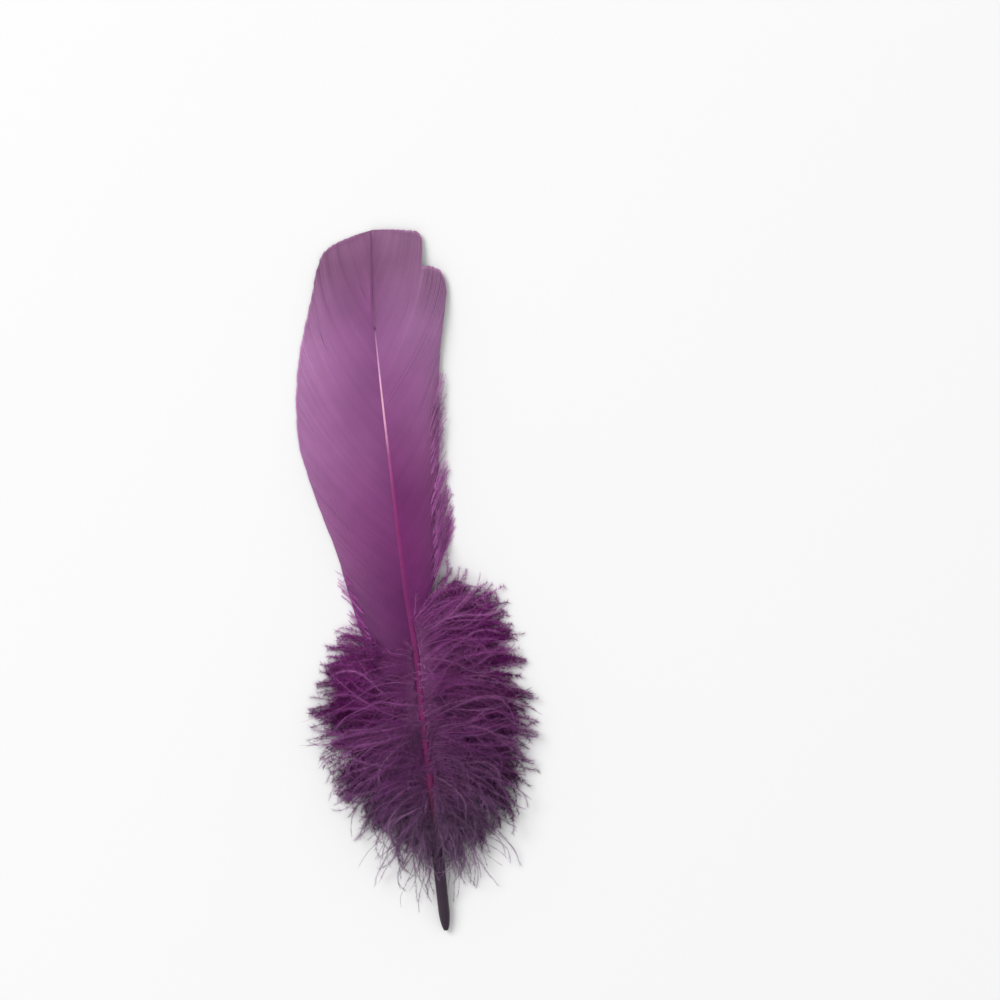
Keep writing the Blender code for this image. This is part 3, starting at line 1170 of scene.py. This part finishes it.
# %% Helpers for the dye
def material(name, roughness, specular):
    made = bpy.data.materials.new(name)
    made.use_nodes = True
    nodes = made.node_tree.nodes
    shader = nodes["Principled BSDF"]
    shader.inputs["Roughness"].default_value = roughness
    shader.inputs["Specular IOR Level"].default_value = specular
    return made, nodes, made.node_tree.links, shader


def linear(*shown):
    """A colour given as it looks on a screen, from 0 to 255, as the shader takes it."""
    return tuple(
        (v / 255 / 12.92 if v <= 10 else ((v / 255 + 0.055) / 1.055) ** 2.4) for v in shown
    ) + (1,)


def dye_ramp(nodes, links, low, high, stops):
    """A ColorRamp between two stations: stops are (station, colour as it looks on a screen)."""
    place = nodes.new("ShaderNodeTexCoord")
    split = nodes.new("ShaderNodeSeparateXYZ")
    links.new(place.outputs["Object"], split.inputs[0])
    share = nodes.new("ShaderNodeMapRange")
    share.inputs["From Min"].default_value = (low - HALF) * MM
    share.inputs["From Max"].default_value = (high - HALF) * MM
    links.new(split.outputs["Y"], share.inputs["Value"])
    ramp = nodes.new("ShaderNodeValToRGB")
    links.new(share.outputs["Result"], ramp.inputs["Fac"])
    while len(ramp.color_ramp.elements) < len(stops):
        ramp.color_ramp.elements.new(0.5)
    for element, (station, shown) in zip(ramp.color_ramp.elements, stops):
        element.position = (station - low) / (high - low)
        element.color = linear(*shown)
    return ramp.outputs["Color"]


mid_purple = linear(154, 89, 147)
print("a mid purple as the shader takes it:", [round(value, 3) for value in mid_purple])

# %% [markdown]
# ## Light and dark in the dye
# The ramp's colours are then made lighter or darker by the barbs' own attributes, which carry
# painted light and shade as well as uneven dye, and by soft noise. Mixing in white or black would
# turn the dye milky or dull, so its value is multiplied instead, or its saturation.

# %% Helpers for light and dark
NOISE_RANGE = (0.3, 0.7)


def read_attribute(nodes, name):
    """The value of one of the attributes that the barbs carry."""
    made = nodes.new("ShaderNodeAttribute")
    made.attribute_name = name
    return made.outputs["Fac"]


def mapped(nodes, links, value, before, after):
    """A value carried over from one range to another."""
    made = nodes.new("ShaderNodeMapRange")
    made.inputs["From Min"].default_value = before[0]
    made.inputs["From Max"].default_value = before[1]
    made.inputs["To Min"].default_value = after[0]
    made.inputs["To Max"].default_value = after[1]
    links.new(value, made.inputs["Value"])
    return made.outputs["Result"]


def clouds(nodes, links, size, low, high):
    """A soft noise between these values, whose clouds have this size in millimetres."""
    place = nodes.new("ShaderNodeTexCoord")
    noise = nodes.new("ShaderNodeTexNoise")
    noise.inputs["Scale"].default_value = 1 / (size * MM)
    noise.inputs["Detail"].default_value = 2
    links.new(place.outputs["Object"], noise.inputs["Vector"])
    return mapped(nodes, links, noise.outputs["Fac"], NOISE_RANGE, (low, high))


def shaded(nodes, links, colour, *shades, channel="Value"):
    """The colour with its value, or its saturation, multiplied by each of these in turn."""
    for shade in shades:
        made = nodes.new("ShaderNodeHueSaturation")
        links.new(shade, made.inputs[channel])
        links.new(colour, made.inputs["Color"])
        colour = made.outputs["Color"]
    return colour


print("noise is read from", NOISE_RANGE[0], "to", NOISE_RANGE[1])

# %% [markdown]
# ## The finish of the webs
# The webs are satin: hooked barbs reflect like cloth, so they are only half rough. The dye is deep
# at the base, palest two thirds of the way up and greyer at the tip. A barb has painted shade beside
# the shaft and a painted sheen further out, stronger on the left. Its end is paler, as thin barb ends
# are, and that also paints the highlight of the curled edge: a thin light rim round the web. The
# lower right web has painted shade in its dye.

# %% The finish of the webs
# Colours along the webs; on the right the stops from 83 to 121.5 mm are darker, a painted shade over
# the lower right web
WEB_DYE_AND_SHADE_STOPS = {
    LEFT: (
        (60, (100, 42, 95)), (83, (116, 56, 111)), (96, (138, 74, 129)), (109, (149, 87, 142)),
        (121.5, (160, 101, 154)), (149, (164, 108, 159)), (168, (128, 80, 119)),
    ),
    RIGHT: (
        (60, (100, 42, 95)), (83, (124, 52, 116)), (96, (128, 57, 118)), (109, (132, 62, 122)),
        (121.5, (152, 87, 143)), (149, (172, 117, 168)), (168, (148, 98, 139)),
    ),
}


def web_dye_with_painted_light(name, side, painted_shade_beside_shaft, painted_sheen_at_edge):
    """Satin barbs: painted shade and more red beside the shaft, painted sheen outwards, uneven dye,
    and pale ends that partly paint an edge highlight.
    """
    made, nodes, links, shader = material(name, roughness=0.5, specular=0.25)
    along = read_attribute(nodes, "along")
    colour = shaded(
        nodes, links, dye_ramp(nodes, links, 60, LENGTH, WEB_DYE_AND_SHADE_STOPS[side]),
        # Painted shade beside the shaft and painted sheen towards the edge
        mapped(nodes, links, along, (0, 1), (painted_shade_beside_shaft, painted_sheen_at_edge)),
        # Pale ends: partly the barbs' own colour, partly a painted highlight on the edge
        mapped(nodes, links, along, (0.965, 1), (1, 1.6)),
        mapped(nodes, links, read_attribute(nodes, "tint"), (-5, 5), (0.5, 1.5)),
        clouds(nodes, links, 9, 0.93, 1.07),
    )
    richness = mapped(nodes, links, along, (0, 1), (1.15, 0.94))
    colour = shaded(nodes, links, colour, richness, channel="Saturation")
    links.new(colour, shader.inputs["Base Color"])
    return made


left_web.data.materials.append(web_dye_with_painted_light("web_left_dye_and_painted_light", LEFT, 0.65, 1.09))
right_web.data.materials.append(web_dye_with_painted_light("web_right_dye_and_painted_light", RIGHT, 0.73, 0.95))
print("web finishes:", left_web.data.materials[0].name, right_web.data.materials[0].name)

# %% [markdown]
# ## The finish of the fluff
# Down scatters light and has no gloss. It holds more dye than the webs, so it is darker, and its
# ribs are paler threads in their fuzz, partly with a painted highlight. It is greyest at the bottom,
# its palest, painted-light barbs are greyer still, and it has painted shade on the right. One
# purple for all of it would look like a dyed ball of wool. The fringe has the same finish, but
# brighter, because it is the webs' own loose ends.

# %% The finish of the fluff
FLUFF_DYES = (
    (5, (112, 82, 115)), (27, (112, 72, 114)), (36, (118, 58, 117)), (46, (120, 48, 117)),
    (60, (132, 44, 125)), (78, (152, 56, 144)), (130, (158, 96, 152)),
)


def painted_light_fluff_finish(name, brightness):
    """Matte down, whose ribs are paler than their fuzz, partly a painted highlight, and whose palest,
    painted-light barbs are the greyest.
    """
    made, nodes, links, shader = material(name, roughness=0.75, specular=0.2)
    tint = read_attribute(nodes, "tint")
    colour = shaded(
        nodes, links, dye_ramp(nodes, links, 5, 130, FLUFF_DYES),
        mapped(nodes, links, tint, (-2, 2), (0.55 * brightness, 1.45 * brightness)),
        # Ribs paler than their fuzz: partly their own colour, partly a painted highlight
        mapped(nodes, links, read_attribute(nodes, "fine"), (0, 1), (1.35, 0.92)),
        clouds(nodes, links, 7, 0.78, 1.22),
    )
    # The paler barbs, painted light, are also greyer
    richness = mapped(nodes, links, tint, (-2, 2), (1.1, 0.75))
    colour = shaded(nodes, links, colour, richness, channel="Saturation")
    links.new(colour, shader.inputs["Base Color"])
    return made


fluff_dye_and_painted_light = painted_light_fluff_finish("fluff_dye_and_painted_light", 0.88)
# Painted shade: the fluff on the right is darker
darker_fluff = painted_light_fluff_finish("darker_fluff", 0.76)
fringe_dye_and_painted_light = painted_light_fluff_finish("fringe_dye_and_painted_light", 1.15)
for piece in fluff_pieces:
    on_right = piece.name.startswith("right")
    piece.data.materials.append(darker_fluff if on_right else fluff_dye_and_painted_light)
for piece in fringe_pieces:
    piece.data.materials.append(fringe_dye_and_painted_light)
print("pieces with a finish of down:", len(fluff_pieces + fringe_pieces))

# %% [markdown]
# ## The finish of the shaft
# Horn takes dye best where it is thin: the quill is near-black, the rachis runs through magenta to
# a pale pink length, which is partly the horn's paler colour and partly a painted highlight, and then
# to a dull mauve with one dark knot. Its gloss is uneven, because barbs and fingers have rubbed it.
# One even colour and gloss would look like plastic.

# %% The finish of the shaft
HORN_DYE_AND_HIGHLIGHT_STOPS = (
    (0, (50, 38, 52)), (22, (52, 30, 51)), (30, (84, 24, 60)), (38, (106, 22, 78)),
    (58, (122, 26, 96)), (83, (112, 24, 92)), (97, (124, 34, 100)), (108, (132, 40, 106)),
    # From 127 to 147 mm the pale pink is partly a painted highlight
    (119, (156, 72, 131)), (127, (214, 150, 186)), (133, (228, 168, 198)),
    (139, (214, 158, 195)), (147, (176, 122, 168)), (150.4, (150, 98, 140)),
    (151.2, (60, 24, 56)), (152, (128, 80, 121)), (156, (112, 66, 104)), (176, (104, 62, 98)),
)

horn, nodes, links, shader = material("horn_dye_and_painted_highlight", roughness=0.42, specular=0.3)
dye = dye_ramp(nodes, links, 0, LENGTH, HORN_DYE_AND_HIGHLIGHT_STOPS)
uneven_dye = shaded(nodes, links, dye, clouds(nodes, links, 2.5, 0.9, 1.1))
links.new(uneven_dye, shader.inputs["Base Color"])
links.new(clouds(nodes, links, 1.2, 0.36, 0.52), shader.inputs["Roughness"])
shaft.data.materials.append(horn)
print("colours along the shaft:", len(HORN_DYE_AND_HIGHLIGHT_STOPS))
